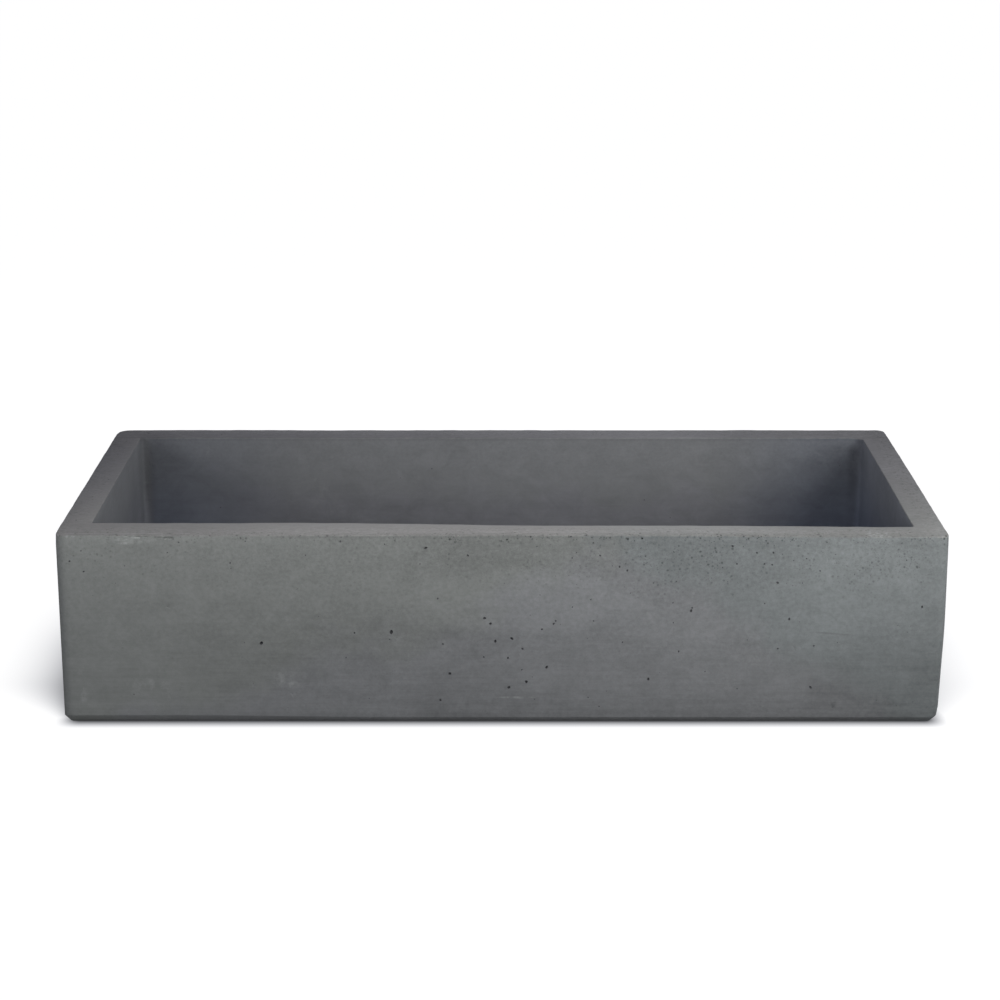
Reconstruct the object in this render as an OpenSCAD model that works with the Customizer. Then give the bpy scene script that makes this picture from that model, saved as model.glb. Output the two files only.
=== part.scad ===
// Cast concrete trough sink with a push-to-open basin waste.
// The trough stands on its flat base. The waste sits in the lowest point of the floor,
// and its nut and tail lie in a recess in the underside, above the base.

/* [Trough] */
// Width over the rim, end to end
trough_w = 914.4; // [700:1:1300]
// Depth over the rim, front to back
trough_d = 482.6; // [380:1:620]
// Height of the rim above the base
trough_h = 203.2; // [165:1:260]
// Thickness of the front and rear walls at the rim
long_wall = 42; // [30:0.5:60]
// Thickness of the two end walls at the rim
end_wall = 32; // [24:0.5:60]
// Height of the floor above the base, at the waste
floor_h = 58; // [54:1:75]
// Rise of the floor from the waste to the walls
floor_fall = 6; // [2:0.5:12]
// How far each outer face leans in between the rim and the base
outer_draft = 3; // [0:0.5:8]
// How far each inner face leans in between the rim and the floor
inner_draft = 3; // [0:0.5:8]

/* [Edges of the casting] */
// Radius of the outer upright corners
corner_r = 11; // [8:0.5:20]
// Width of the 45 degree chamfer round the base
base_chamfer = 6; // [2:0.5:9]
// Radius of the worn edges of the rim
arris_r = 2; // [1:0.5:6]
// Radius of the upright corners inside the bowl
bowl_corner_r = 12; // [6:0.5:30]
// Radius of the cove between the floor and the walls
cove_r = 12; // [8:1:35]

/* [Waste body] */
// Diameter over the thread of the waste
thread_d = 41.9; // [38:0.1:46]
// Thickness of the tube wall
tube_wall = 2.9; // [2:0.1:4]
// Diameter of the flange
flange_d = 70; // [66:0.5:76]
// Thickness of the flange
flange_t = 5; // [4.2:0.1:7]
// Width of the flange's raised outer ring
flange_ring = 3.8; // [3:0.1:5]
// Depth of the dish that the plug closes into
dish_depth = 3.2; // [2.8:0.1:3.6]
// Length of free thread below the lock nut, for the trap
tail_l = 9; // [7:0.5:14]
// Height of the tail's end above the base
tail_gap = 4; // [2:0.5:8]
// Width of the run-out groove between the two threads
groove_w = 1.2; // [0.8:0.1:2]
// Height of the cross bars that carry the latch
bar_h = 6; // [4:0.5:8]
// Width of the cross bars
bar_w = 4; // [2.5:0.5:6]

/* [Waste fixings] */
// Thickness of the gasket under the flange
gasket_t = 1.5; // [1:0.1:3]
// Thickness of the rubber washer under the floor
cone_washer_t = 4.5; // [3:0.5:7]
// Diameter of the rubber washer
cone_washer_d = 66; // [58:1:72]
// Height of the washer's nose inside the hole
cone_nose_h = 3; // [1:0.5:5]
// Thickness of the slip washer
slip_washer_t = 1.5; // [1:0.1:2.5]
// Diameter of the slip washer
slip_washer_d = 62; // [58:1:70]
// Width across the flats of the lock nut
nut_af = 52; // [48:0.5:56]
// Thickness of the lock nut
nut_t = 7; // [5:0.5:9]
// Diameter of the recess under the trough
recess_d = 104; // [90:1:130]

/* [Plug] */
// Travel of the plug between closed and open
plug_lift = 9; // [6:0.5:9]
// Height of the plug's domed face above its edge
plug_dome = 1.2; // [0.4:0.1:2]
// Thickness of the rubber seal
seal_t = 1.6; // [1:0.1:2]
// Radius of the boss that the seal is stretched over
seal_boss_r = 13; // [10:0.5:14]
// Diameter of the threaded stud
stud_d = 5; // [4:0.5:6]
// Width across the flats of the stud's nut
stud_nut_af = 8; // [7.5:0.5:10]
// Thickness of the stud's nut
stud_nut_t = 2.4; // [2:0.1:3]

/* [Latch] */
// Outer diameter of the latch housing
housing_d = 18; // [17:0.5:20]
// Wall of the latch housing, outside its grooves
housing_wall = 1.2; // [0.8:0.1:1.5]
// Length of the rotor
rotor_l = 5; // [4:0.5:6]
// Number of teeth between plunger and rotor, two for each guide groove
latch_teeth = 8; // [6:2:10]
// Depth of those teeth
tooth_depth = 1.2; // [0.8:0.1:1.6]
// Depth of the guide grooves
groove_depth = 0.8; // [0.5:0.1:1]
// Width of the guide grooves
guide_w = 2.6; // [2:0.1:3]
// Slope of the cams at the grooves' lower ends, in degrees
cam_slope = 12; // [5:1:18]
// Diameter of the plunger's rod
rod_d = 8; // [7.5:0.1:9]
// Diameter of the spring's wire
wire_d = 1; // [0.6:0.1:1.2]
// Number of turns of the spring
spring_turns = 4; // [3:0.5:4.5]

/* [Hidden] */
$fn = 72;

concrete = [0.40, 0.42, 0.42];
chrome = [0.80, 0.81, 0.83];
brass = [0.78, 0.66, 0.38];
rubber = [0.12, 0.12, 0.13];
nylon = [0.90, 0.90, 0.87];
steel = [0.70, 0.71, 0.73];

// Clearances between pieces that slide, screw or turn on each other
slide_gap = 0.1;
thread_gap = 0.08;
hole_gap = 1.5;      // round the tube where it passes through the concrete
flange_gap = 1;      // round the flange in its rebate
plug_gap = 0.8;      // round the plug in the dish
seat_gap = 0.15;     // left under the seal when the plug is down
stack_gap = 0.05;    // between pieces that are screwed up against each other
stop_gap = 0.3;      // above the plunger's head at the top of its travel
cut = 1;             // how far a cutting shape runs past the face it opens

// Heights of the casting and of the waste, from the base up
groove_z = tail_gap + tail_l;
nut_z = groove_z + groove_w;
slip_z = nut_z + nut_t;
cone_z = slip_z + slip_washer_t;
recess_h = cone_z + cone_washer_t;
flange_z = floor_h - flange_t;
gasket_z = flange_z - gasket_t;
seat_z = floor_h - dish_depth;

// Radii of the waste
thread_r = thread_d / 2;
bore_r = thread_r - tube_wall;
groove_r = thread_r - 0.9;
flange_r = flange_d / 2;
flange_edge_r = 1.6;
hole_r = thread_r + hole_gap;
rebate_r = flange_r + flange_gap;
dish_r = flange_r - flange_ring;
seat_lip = 1.5;
end_chamfer = 0.8;
floor_ring_r = rebate_r + 4;   // where the falling floor turns level round the flange

// Latch, with every moving piece drawn in its open position
housing_r = housing_d / 2;
groove_floor_r = housing_r - housing_wall;
chamber_r = groove_floor_r - groove_depth;
housing_floor = 2;
housing_lift = 8;    // of the housing's lower end above the tail's
housing_z = tail_gap + housing_lift;
hub_lift = 4;        // of the cross bars above the housing's lower end
bar_z = housing_z + hub_lift;
collar_z = bar_z + bar_h;
collar_h = 2.5;
collar_r = housing_r + 2;
hub_r = housing_r + 3;
chamber_z = housing_z + housing_floor;
spring_solid = (spring_turns + 1) * wire_d;
spring_spare = 1;    // left in the spring when the plug is down
spring_l = spring_solid + plug_lift + spring_spare;
rotor_z = chamber_z + spring_l;
rotor_top_z = rotor_z + rotor_l;
rib_l = rotor_l - tooth_depth;
guides = latch_teeth / 2;
rib_r = groove_floor_r - slide_gap;
rib_w = guide_w - 2 * slide_gap;
cam_half_w = groove_floor_r * sin(180 / guides);
cam_rise = cam_half_w * tan(cam_slope);
cam_z = rotor_z + rib_l - plug_lift + cam_rise + slide_gap;
head_z = rotor_top_z + stop_gap;
head_l = 5.1;
head_top_z = head_z + head_l;
latch_cap_z = head_top_z + stop_gap;
latch_cap_spigot = 4;
latch_cap_head = 3;
housing_top_z = latch_cap_z + latch_cap_spigot;
latch_cap_top_z = housing_top_z + latch_cap_head;

// Plug, open: seal, cap and stud stand plug_lift above their closed places
seal_z = seat_z + seat_gap + plug_lift;
cap_z = seal_z + seal_t;
cap_edge_t = 1.7;
cap_r = dish_r - plug_gap;
seal_rim = 2;        // from the seal's edge out to the cap's
seal_r = cap_r - seal_rim;
lip_t = 1.2;
lip_w = 1.4;
lip_z = seal_z - stack_gap - lip_t;
edge_chamfer = 0.4;
stud_r = stud_d / 2;
rod_r = rod_d / 2;
rod_spare = 1;       // of rod above the latch when the plug is down
rod_top_z = latch_cap_top_z + plug_lift + rod_spare;
stud_nut_z = rod_top_z + stack_gap;
boss_z = stud_nut_z + stud_nut_t + stack_gap;
boss_r = 5.5;
socket_l = 10;
stud_end_gap = 0.2;
stud_z = rod_top_z - socket_l + stud_end_gap;
stud_into_cap = 0.6;
stud_top_z = cap_z + stud_into_cap;

// Points of a circular arc about (x, z), from angle a to angle b
function arc(x, z, r, a, b, steps = 5) =
    [for (i = [0:steps]) let (t = a + (b - a) * i / steps) [x + r * cos(t), z + r * sin(t)]];

// One level of a casting: a rectangle w by d with corners of radius r, at height z
function level(w, d, r, z, steps = 6) =
    [for (k = [0:3]) for (i = [0:steps])
        let (t = 90 * (k + i / steps), sx = (k == 0 || k == 3) ? 1 : -1, sy = k < 2 ? 1 : -1)
        [sx * (w / 2 - r) + r * cos(t), sy * (d / 2 - r) + r * sin(t), z]];

// Solid skinned over a list of sections, each a loop of as many points that turns right-handed
// about the way it is swept. A closed skin joins its last section to its first.
module skin(sections, closed = false) {
    n = len(sections[0]);
    m = len(sections);
    sides = [for (j = [0:m - (closed ? 1 : 2)]) for (i = [0:n - 1])
        let (a = j * n + i, b = j * n + (i + 1) % n, next = (j + 1) % m * n)
            each [[a, next + i, next + (i + 1) % n], [a, next + (i + 1) % n, b]]];
    near_end = [for (i = [0:n - 1]) i];
    far_end = [for (i = [n - 1:-1:0]) (m - 1) * n + i];
    polyhedron(points = [for (s = sections) each s],
               faces = closed ? sides : concat([near_end], sides, [far_end]));
}

// How far the outer and the inner faces stand in at height z
function outer_inset(z) = outer_draft * (1 - z / trough_h);
function inner_inset(z) = inner_draft * (trough_h - z) / (trough_h - floor_h);

// Level of the outer form, drawn in by a further amount
function outer_level(z, drawn_in) = let (inset = outer_inset(z) + drawn_in)
    level(trough_w - 2 * inset, trough_d - 2 * inset, corner_r - drawn_in, z);

// Level of the bowl, drawn in by a further amount
function bowl_level(z, drawn_in, r) = let (inset = inner_inset(z) + drawn_in)
    level(trough_w - 2 * end_wall - 2 * inset, trough_d - 2 * long_wall - 2 * inset, r, z);

module outer_form() {
    base_edge = [outer_level(0, base_chamfer), outer_level(base_chamfer, 0)];
    rim_edge = [for (a = [0:22.5:90])
        outer_level(trough_h - arris_r * (1 - sin(a)), arris_r * (1 - cos(a)))];
    skin(concat(base_edge, rim_edge));
}

module bowl_form() {
    wall_foot_z = floor_h + floor_fall;
    floor_levels = [level(2 * floor_ring_r, 2 * floor_ring_r, floor_ring_r - 1, floor_h)];
    cove = [for (a = [90:-15:0])
        bowl_level(wall_foot_z + cove_r * (1 - sin(a)), cove_r * (1 - cos(a)),
                   bowl_corner_r + cove_r * (1 - cos(a)) / 2)];
    rim_edge = [for (a = [0:22.5:90])
        bowl_level(trough_h - arris_r * (1 - sin(a)), -arris_r * (1 - cos(a)),
                   bowl_corner_r + arris_r * (1 - cos(a)))];
    above = [bowl_level(trough_h + cut, -arris_r, bowl_corner_r + arris_r)];
    skin(concat(floor_levels, cove, rim_edge, above));
}

// The casting: drafted walls, a floor that falls to the waste, and a recess for the nut
module basin() {
    color(concrete) difference() {
        outer_form();
        bowl_form();
        translate([0, 0, gasket_z]) cylinder(r = rebate_r, h = floor_h - gasket_z + cut);
        translate([0, 0, recess_h - cut]) cylinder(r = hole_r, h = floor_h);
        translate([0, 0, -cut]) cylinder(d = recess_d, h = recess_h + cut);
    }
}

// Flange, dish, seat and threaded tube in one turned piece
module waste_profile() {
    polygon(concat(
        [[bore_r, tail_gap], [thread_r - end_chamfer, tail_gap], [thread_r, tail_gap + end_chamfer],
         [thread_r, groove_z], [groove_r, groove_z], [groove_r, nut_z], [thread_r, nut_z],
         [thread_r, flange_z], [flange_r, flange_z]],
        arc(flange_r - flange_edge_r, floor_h - flange_edge_r, flange_edge_r, 0, 90),
        [[dish_r, floor_h], [dish_r, seat_z]],
        arc(bore_r + seat_lip, seat_z - seat_lip, seat_lip, 90, 180)));
}

module waste_body() {
    color(chrome) difference() {
        union() {
            rotate_extrude() waste_profile();
            translate([0, 0, bar_z]) {
                cylinder(r = hub_r, h = bar_h);
                for (turn = [0, 90])
                    rotate([0, 0, turn])
                        translate([-bore_r - 1, -bar_w / 2, 0]) cube([2 * bore_r + 2, bar_w, bar_h]);
            }
        }
        translate([0, 0, bar_z - cut]) cylinder(r = housing_r + thread_gap, h = bar_h + 2 * cut);
    }
}

module ring(outer_r, inner_r, h) {
    difference() {
        cylinder(r = outer_r, h = h);
        translate([0, 0, -cut]) cylinder(r = inner_r, h = h + 2 * cut);
    }
}

module flange_gasket() {
    color(rubber) translate([0, 0, gasket_z]) ring(flange_r - 1, thread_r + slide_gap, gasket_t);
}

// Rubber washer with a tapered nose that centres the tube in its hole
module cone_washer() {
    outer_r = cone_washer_d / 2;
    inner_r = thread_r + slide_gap;
    color(rubber) rotate_extrude()
        polygon([[inner_r, cone_z], [outer_r - 1, cone_z], [outer_r, cone_z + 1], [outer_r, recess_h],
                 [hole_r - 0.2, recess_h], [inner_r + 0.4, recess_h + cone_nose_h],
                 [inner_r, recess_h + cone_nose_h]]);
}

module slip_washer() {
    color(nylon) translate([0, 0, slip_z])
        ring(slip_washer_d / 2, thread_r + slide_gap, slip_washer_t);
}

// Hexagon nut with its outer corners turned back on both faces
module hex_nut(af, h, inner_r, corner_cut) {
    across = af / cos(30);
    difference() {
        intersection() {
            cylinder(d = across, h = h, $fn = 6);
            rotate_extrude()
                polygon([[0, 0], [across / 2 - corner_cut, 0], [across / 2, corner_cut * 0.6],
                         [across / 2, h - corner_cut * 0.6], [across / 2 - corner_cut, h], [0, h]]);
        }
        translate([0, 0, -cut]) cylinder(r = inner_r, h = h + 2 * cut);
    }
}

module lock_nut() {
    color(brass) translate([0, 0, nut_z]) hex_nut(nut_af, nut_t, thread_r + thread_gap, 2.4);
}

// Long bars from the axis outwards, one for each guide groove
module guide_bars(w, z, h) {
    for (i = [0:guides - 1])
        rotate([0, 0, 360 * i / guides]) translate([0, -w / 2, z]) cube([housing_r, w, h]);
}

// Space inside the housing: a wide chamber, then a bore with guide grooves between lands.
// Each land's lower end is a sloping cam, on which the rotor's ribs rest when the plug is down.
module latch_space() {
    bore_top_z = housing_top_z + cut;
    translate([0, 0, chamber_z])
        cylinder(r = groove_floor_r, h = cam_z - cam_rise - chamber_z);
    translate([0, 0, chamber_z]) cylinder(r = chamber_r, h = bore_top_z - chamber_z);
    intersection() {
        cylinder(r = groove_floor_r, h = bore_top_z);
        union() {
            guide_bars(guide_w, chamber_z, bore_top_z - chamber_z);
            for (i = [0:guides - 1])
                rotate([0, 0, 360 * (i + 0.5) / guides]) translate([0, 0, cam_z])
                    rotate([cam_slope, 0, 0]) translate([0, -cam_half_w, -3 * cam_rise])
                        cube([housing_r, 2 * cam_half_w, 3 * cam_rise]);
        }
    }
}

// Cup that screws into the hub and holds the latch
module latch_housing() {
    color(brass) difference() {
        rotate_extrude()
            polygon([[0, housing_z], [housing_r - end_chamfer, housing_z],
                     [housing_r, housing_z + end_chamfer], [housing_r, collar_z],
                     [collar_r, collar_z], [collar_r, collar_z + collar_h],
                     [housing_r, collar_z + collar_h], [housing_r, housing_top_z],
                     [0, housing_top_z]]);
        latch_space();
    }
}

// Bush that closes the housing and guides the plunger's rod
module latch_cap() {
    guide_r = rod_r + slide_gap;
    color(brass) rotate_extrude()
        polygon([[guide_r, latch_cap_z], [chamber_r - thread_gap, latch_cap_z],
                 [chamber_r - thread_gap, housing_top_z], [housing_r, housing_top_z],
                 [housing_r, latch_cap_top_z - end_chamfer],
                 [housing_r - end_chamfer, latch_cap_top_z],
                 [guide_r, latch_cap_top_z]]);
}

// Spring: sides round the wire, and sections along each turn
spring_sides = 6;
spring_steps = 14;
spring_play = 0.5;   // between the spring and the housing's bore
spring_r = chamber_r - wire_d / 2 - spring_play;
spring_rise = (spring_l - wire_d) / spring_turns;
echo(spring_least_gap = spring_rise * cos(atan(spring_rise / (2 * PI * spring_r))) - wire_d);

// Wire's section after so many degrees of winding
function wire_section(turn) =
    [for (i = [0:spring_sides - 1])
        let (side = -360 * i / spring_sides, r = spring_r + wire_d / 2 * cos(side))
            [r * cos(turn), r * sin(turn),
             chamber_z + wire_d / 2 + spring_rise * turn / 360 + wire_d / 2 * sin(side)]];

module latch_spring() {
    sections = round(spring_turns * spring_steps);
    color(steel) skin([for (j = [0:sections]) wire_section(360 * spring_turns * j / sections)]);
}

// Ring of V teeth that stand on height z. They point down where way is -1.
tooth_steps = 3;
crown_outer_r = chamber_r - 4 * slide_gap;
crown_w = 2;
crown_inner_r = crown_outer_r - crown_w;
crown_root = 0.6;    // how far the ring is let into the piece that carries it

// Tooth's height where it is k steps round from the first tip: 1 at a tip, 0 in a valley
function tooth_at(k) = abs(1 - (k / tooth_steps) % 2);

module tooth_crown(z, way) {
    stations = 2 * latch_teeth * tooth_steps;
    skin([for (k = [0:stations - 1])
        let (turn = 360 * k / stations,
             tip = z + way * tooth_depth * tooth_at(way > 0 ? k : k + tooth_steps),
             low = min(z - way * crown_root, tip),
             high = max(z - way * crown_root, tip))
            [for (c = [[crown_inner_r, low], [crown_inner_r, high],
                       [crown_outer_r, high], [crown_outer_r, low]])
                [c[0] * cos(turn), c[0] * sin(turn), c[1]]]], closed = true);
}

// Round body with a rib for each guide groove
module ribbed_body(z, h) {
    translate([0, 0, z]) cylinder(r = chamber_r - slide_gap, h = h);
    intersection() {
        translate([0, 0, z]) cylinder(r = rib_r, h = h);
        guide_bars(rib_w, z - cut, h + 2 * cut);
    }
}

// Ring that the spring pushes up and the teeth turn a step at each push
module latch_rotor() {
    color(steel) {
        ribbed_body(rotor_z, rib_l);
        tooth_crown(rotor_z + rib_l, 1);
    }
}

// Toothed head, rod and the socket that the stud screws into
module latch_plunger() {
    color(steel) {
        tooth_crown(head_z, -1);
        difference() {
            union() {
                ribbed_body(head_z, head_l);
                translate([0, 0, head_top_z - cut])
                    cylinder(r = rod_r, h = rod_top_z - head_top_z + cut);
            }
            translate([0, 0, rod_top_z - socket_l])
                cylinder(r = stud_r + thread_gap, h = socket_l + cut);
        }
    }
}

module stud_nut() {
    color(brass) translate([0, 0, stud_nut_z])
        hex_nut(stud_nut_af, stud_nut_t, stud_r + thread_gap, 0.6);
}

module plug_stud() {
    color(steel) rotate_extrude()
        polygon([[0, stud_z], [stud_r - end_chamfer, stud_z], [stud_r, stud_z + end_chamfer],
                 [stud_r, stud_top_z - end_chamfer], [stud_r - end_chamfer, stud_top_z],
                 [0, stud_top_z]]);
}

module plug_seal() {
    inner_r = seal_boss_r + slide_gap;
    color(rubber) rotate_extrude()
        polygon([[inner_r, seal_z], [seal_r - end_chamfer, seal_z], [seal_r, seal_z + edge_chamfer],
                 [seal_r, cap_z], [inner_r, cap_z]]);
}

// Domed face, boss with the lip that keeps the seal on, and threaded centre
module plug_cap() {
    lip_r = seal_boss_r + lip_w;
    socket_r = stud_r + thread_gap;
    socket_top_z = stud_top_z + stud_end_gap;
    edge_z = cap_z + cap_edge_t;
    dome_r = (cap_r * cap_r + plug_dome * plug_dome) / (2 * plug_dome);
    dome_angle = asin(cap_r / dome_r);
    color(chrome) rotate_extrude()
        polygon(concat(
            [[socket_r, boss_z], [boss_r, boss_z], [boss_r, lip_z], [lip_r - edge_chamfer, lip_z],
             [lip_r, lip_z + edge_chamfer], [lip_r, lip_z + lip_t], [seal_boss_r, lip_z + lip_t],
             [seal_boss_r, cap_z], [cap_r - edge_chamfer, cap_z], [cap_r, cap_z + edge_chamfer]],
            arc(0, edge_z + plug_dome - dome_r, dome_r, 90 - dome_angle, 90, 10),
            [[0, socket_top_z], [socket_r, socket_top_z]]));
}

basin();
waste_body();
flange_gasket();
cone_washer();
slip_washer();
lock_nut();
latch_housing();
latch_cap();
latch_spring();
latch_rotor();
latch_plunger();
stud_nut();
plug_stud();
plug_seal();
plug_cap();
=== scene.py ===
"""Cast concrete trough sink with a push-to-open waste: its looks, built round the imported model."""
import math
import random

import bmesh
import bpy
from mathutils import Matrix, Vector, noise


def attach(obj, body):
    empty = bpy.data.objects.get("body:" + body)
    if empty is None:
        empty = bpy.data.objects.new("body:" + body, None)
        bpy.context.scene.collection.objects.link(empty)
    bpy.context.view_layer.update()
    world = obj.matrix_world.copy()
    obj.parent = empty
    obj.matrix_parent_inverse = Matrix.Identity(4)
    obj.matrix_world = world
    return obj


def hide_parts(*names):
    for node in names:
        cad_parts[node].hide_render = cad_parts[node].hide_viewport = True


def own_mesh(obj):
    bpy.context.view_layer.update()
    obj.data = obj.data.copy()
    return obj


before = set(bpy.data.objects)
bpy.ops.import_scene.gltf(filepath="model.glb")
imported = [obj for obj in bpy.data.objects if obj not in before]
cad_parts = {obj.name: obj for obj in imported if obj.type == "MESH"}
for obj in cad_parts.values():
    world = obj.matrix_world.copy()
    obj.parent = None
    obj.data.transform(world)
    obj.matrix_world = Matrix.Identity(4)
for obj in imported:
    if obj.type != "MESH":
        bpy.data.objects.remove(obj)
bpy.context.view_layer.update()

MM = 0.001

# The casting, as in the part's source
RIM_W = 914.4 * MM
RIM_D = 482.6 * MM
RIM_H = 203.2 * MM
END_WALL = 32 * MM
LONG_WALL = 42 * MM
WALL_FOOT_Z = 64 * MM
DRAIN_FLOOR_Z = 58 * MM
OUTER_DRAFT = 3 * MM
INNER_DRAFT = 3 * MM
CORNER_R = 11 * MM
BOWL_R = 12 * MM
BASE_CHAMFER = 6 * MM
ARRIS_R = 2 * MM
BASE_ARRIS_R = 0.7 * MM

# The waste, as in the part's source
RECESS_R = 52 * MM
RECESS_H = 27.2 * MM
HOLE_R = 22.45 * MM
REBATE_R = 36 * MM
REBATE_Z = 51.5 * MM
LEVEL_R = 40 * MM
TAIL_Z = 4 * MM
THREAD_R = 20.95 * MM
THREAD_DEPTH = 1.45 * MM
THREAD_PITCH = 2.309 * MM
BORE_R = 18.05 * MM
FLANGE_R = 35 * MM
FLANGE_Z = 53 * MM
DISH_R = 31.2 * MM
SEAT_Z = 54.8 * MM
GROOVE_Z = 13 * MM
NUT_Z = 14.2 * MM
NUT_T = 7 * MM
NUT_AF = 52 * MM
NUT_CORNER_CUT = 2.4 * MM
SLIP_Z = 21.2 * MM
SLIP_R = 31 * MM
CONE_Z = 22.7 * MM
CONE_R = 33 * MM
CONE_NOSE_H = 3 * MM
BAR_Z = 16 * MM
BAR_H = 6 * MM
BAR_W = 4 * MM
HUB_R = 12 * MM
HUB_BORE_R = 9.08 * MM
SPRING_Z = 14 * MM
SPRING_L = 15 * MM
SPRING_R = 6 * MM
WIRE_D = 1 * MM
SPRING_TURNS = 4
SEAL_Z = 63.95 * MM
SEAL_T = 1.6 * MM
SEAL_R = 28.4 * MM
SEAL_BOSS_R = 13 * MM
CAP_R = 30.4 * MM
CAP_EDGE_T = 1.7 * MM
CAP_DOME = 1.2 * MM
BOSS_R = 5.5 * MM
BOSS_Z = 59.2 * MM
STUD_R = 2.5 * MM
LIP_T = 1.2 * MM
LIP_W = 1.4 * MM

DETAIL = 1


def add_object(name, data):
    made = bpy.data.objects.new(name, data)
    bpy.context.scene.collection.objects.link(made)
    return made


# ---------------------------------------------------------------- camera

LENS_MM = 99.25
SENSOR_MM = 36.0
CAMERA_PLACE = (-0.0022, -2.9543, 0.9328)
LOOKS_DOWN = 14.331  # degrees below level


def add_camera():
    """The photograph's place: in front, a little above the rim, with a long lens."""
    lens = bpy.data.cameras.new("camera")
    lens.lens = LENS_MM
    lens.sensor_width = SENSOR_MM
    camera = add_object("camera", lens)
    camera.location = CAMERA_PLACE
    camera.rotation_euler = (math.radians(90 - LOOKS_DOWN), 0, 0)
    bpy.context.scene.camera = camera


# ---------------------------------------------------------------- modelling

def focus(piece):
    """Makes a piece the only selected and the active one."""
    for other in bpy.context.selected_objects:
        other.select_set(False)
    piece.select_set(True)
    bpy.context.view_layer.objects.active = piece


def edit(piece):
    focus(piece)
    bpy.ops.object.mode_set(mode="EDIT")


def done():
    bpy.ops.object.mode_set(mode="OBJECT")


def select(kind, test):
    """Selects the faces or edges of the piece in edit mode that pass the test."""
    bpy.ops.mesh.select_mode(type={"faces": "FACE", "edges": "EDGE"}[kind])
    bpy.ops.mesh.select_all(action="DESELECT")
    mesh = bmesh.from_edit_mesh(bpy.context.edit_object.data)
    for part in getattr(mesh, kind):
        if test(part):
            part.select_set(True)
    bmesh.update_edit_mesh(bpy.context.edit_object.data)


def middle(edge):
    return (edge.verts[0].co + edge.verts[1].co) / 2


def runs_along(edge, axis, least=0.0):
    """True for an edge that runs mostly along an axis and is longer than least."""
    line = edge.verts[1].co - edge.verts[0].co
    return line.length > least and abs(line[axis]) > 0.9 * line.length


def lies_between(edge, low, high):
    return all(low < v.co.z < high for v in edge.verts)


def apply_modifier(piece, kind, **settings):
    focus(piece)
    modifier = piece.modifiers.new(kind.lower(), kind)
    for key, value in settings.items():
        setattr(modifier, key, value)
    bpy.ops.object.modifier_apply(modifier=modifier.name)


def apply_place(piece):
    focus(piece)
    bpy.ops.object.transform_apply(location=True, rotation=True, scale=True)


def cut_away(piece, cutter, operation="DIFFERENCE"):
    apply_modifier(piece, "BOOLEAN", operation=operation, solver="MANIFOLD", object=cutter)
    bpy.data.objects.remove(cutter)


def bevel(width, segments):
    """Rounds the selected edges, or chamfers them with one segment."""
    bpy.ops.mesh.bevel(offset=width, segments=segments, affect="EDGES")


def turn_outward():
    bpy.ops.mesh.select_all(action="SELECT")
    bpy.ops.mesh.normals_make_consistent(inside=False)


def smooth(piece, angle):
    focus(piece)
    bpy.ops.object.shade_smooth_by_angle(angle=math.radians(angle))


def arc(centre_r, centre_z, radius, start, end, steps):
    """Points of an arc in the turning plane, from angle start to angle end in degrees."""
    angles = [math.radians(start + (end - start) * i / steps) for i in range(steps + 1)]
    return [(centre_r + radius * math.cos(a), centre_z + radius * math.sin(a)) for a in angles]


def rounded(corners, steps=3):
    """A closed profile whose corners (r, z, rounding) are turned into small arcs."""
    points = []
    for i, (r, z, rounding) in enumerate(corners):
        if rounding == 0:
            points.append((r, z))
            continue
        here = Vector((r, z))
        before = Vector(corners[i - 1][:2])
        after = Vector(corners[(i + 1) % len(corners)][:2])
        start = here + (before - here).normalized() * rounding
        end = here + (after - here).normalized() * rounding
        for k in range(steps + 1):
            t = k / steps
            point = start * (1 - t) ** 2 + here * (2 * t * (1 - t)) + end * t ** 2
            points.append(tuple(point))
    return points


def new_piece(name, points, joins, faces):
    mesh = bpy.data.meshes.new(name)
    mesh.from_pydata(points, joins, faces)
    return add_object(name, mesh)


def profile_piece(name, profile):
    """A closed profile of (radius, height) points, ready to be spun or wound."""
    joins = [(i, (i + 1) % len(profile)) for i in range(len(profile))]
    return new_piece(name, [(r, 0, z) for r, z in profile], joins, [])


def turned(name, profile, steps=120):
    """A piece spun about the drain's axis from a closed profile."""
    piece = profile_piece(name, profile)
    edit(piece)
    bpy.ops.mesh.select_all(action="SELECT")
    bpy.ops.mesh.spin(steps=steps, angle=math.tau, center=(0, 0, 0), axis=(0, 0, 1))
    bpy.ops.mesh.select_all(action="SELECT")
    bpy.ops.mesh.remove_doubles(threshold=0.02 * MM)
    turn_outward()
    done()
    return piece


def wind(piece, turns, rise, steps):
    """Winds a profile up round the drain's axis and closes the two ends."""
    apply_modifier(piece, "SCREW", angle=math.tau * turns, screw_offset=rise, axis="Z",
                   steps=steps, render_steps=steps, iterations=1)
    edit(piece)
    open_mesh = bmesh.from_edit_mesh(piece.data)
    bmesh.ops.holes_fill(open_mesh, edges=[e for e in open_mesh.edges if e.is_boundary])
    bmesh.update_edit_mesh(piece.data)
    turn_outward()
    done()


def thread_ridge(bottom_z, top_z, root_r, crest_r):
    """The ridge of a screw thread, wound from a V section."""
    turns = (top_z - bottom_z) / THREAD_PITCH - 1
    half = 0.46 * THREAD_PITCH
    flat = 0.06 * THREAD_PITCH
    z = bottom_z + THREAD_PITCH / 2
    ridge = profile_piece("thread_ridge", [(root_r, z - half), (crest_r, z - flat),
                                           (crest_r, z + flat), (root_r, z + half)])
    wind(ridge, turns, THREAD_PITCH * turns, round(72 * turns))
    return ridge


# ---------------------------------------------------------------- the casting

FRONT = -RIM_D / 2
ALONG, ACROSS, UP = 0, 1, 2


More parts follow.
